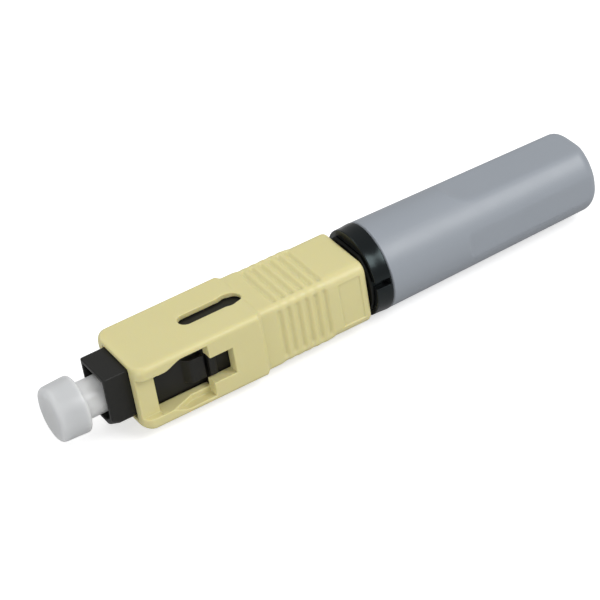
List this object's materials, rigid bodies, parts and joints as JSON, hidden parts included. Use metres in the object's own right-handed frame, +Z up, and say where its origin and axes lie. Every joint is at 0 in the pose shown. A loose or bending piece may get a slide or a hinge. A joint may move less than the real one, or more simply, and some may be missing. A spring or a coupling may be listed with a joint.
{
  "type": "field-installable fibre optic connector",
  "caption": "Straight push-pull fibre optic plug for fitting in the field: dust cap, keyed sliding housing, cam ring over an inner splice, and a long screw-on boot that clamps the cable.",
  "frame": {"origin": "centre of the ferrule's end face, where two connectors meet", "axes": "+X along the optical axis towards the cable, +Y across, +Z up, away from the keyed side"},
  "size_m": [0.0619, 0.0096, 0.0096],
  "materials": {
    "cap_white": "translucent, softly moulded",
    "frame_black": "fine moulded grain",
    "housing_beige": "satin moulded",
    "backbone_black": "satin moulded",
    "ring_black": "semi-gloss moulded",
    "boot_grey": "satin moulded",
    "ceramic": "ground and polished zirconia",
    "fibre_glass": "polished end, bare glass",
    "flange_metal": "turned, nickel plated",
    "spring_steel": "drawn wire",
    "splice_plastic": "precision moulded",
    "lead_in_clear": "smooth moulded",
    "collet_black": "satin moulded",
    "washer_white": "smooth moulded",
    "grommet_rubber": "soft matte"
  },
  "bodies": {
    "body": {"plug_frame": "frame_black", "rear_body": "backbone_black", "tail_body": "backbone_black", "cable_collet": "collet_black", "ferrule_spring": "spring_steel"},
    "cap": {"dust_cap": "cap_white"},
    "housing": {"outer_housing": "housing_beige"},
    "ferrule_unit": {"ferrule": "ceramic", "fibre_stub": "fibre_glass", "ferrule_flange": "flange_metal", "splice_holder": "splice_plastic", "splice_lid": "splice_plastic", "lead_in_tube": "lead_in_clear"},
    "splice": {"splice_base": "splice_plastic"},
    "cam": {"cam_ring": "ring_black"},
    "washer": {"thrust_washer": "washer_white"},
    "boot": {"boot_nut": "boot_grey", "rear_grommet": "grommet_rubber"}
  },
  "joints": [
    {"name": "cap_pull", "type": "slide", "parent": "body", "child": "cap", "axis": [-1, 0, 0], "range_m": [0, 0.008]},
    {"name": "housing_slide", "type": "slide", "parent": "body", "child": "housing", "axis": [1, 0, 0], "range_m": [-0.0015, 0.0002]},
    {"name": "ferrule_float", "type": "slide", "parent": "body", "child": "ferrule_unit", "axis": [1, 0, 0], "range_m": [0, 0.001], "stiffness_N_per_m": 1000, "deforming": ["ferrule_spring"]},
    {"name": "cam_turn", "type": "hinge", "parent": "body", "child": "cam", "pos_m": [0.0308, 0, 0], "axis": [1, 0, 0], "range_deg": [0, 90]},
    {"name": "splice_press", "type": "slide", "parent": "ferrule_unit", "child": "splice", "axis": [0, 0, 1], "range_m": [0, 0.00012]},
    {"name": "boot_travel", "type": "slide", "parent": "body", "child": "washer", "axis": [1, 0, 0], "range_m": [0, 0.005]},
    {"name": "boot_turn", "type": "hinge", "parent": "washer", "child": "boot", "pos_m": [0.0327, 0, 0], "axis": [1, 0, 0], "range_deg": [0, 1440]}
  ],
  "couplings": [
    {"joint": "cam_turn", "follows": "splice_press", "rad_per_m": 13089},
    {"joint": "boot_turn", "follows": "boot_travel", "rad_per_m": 5026.5}
  ]
}
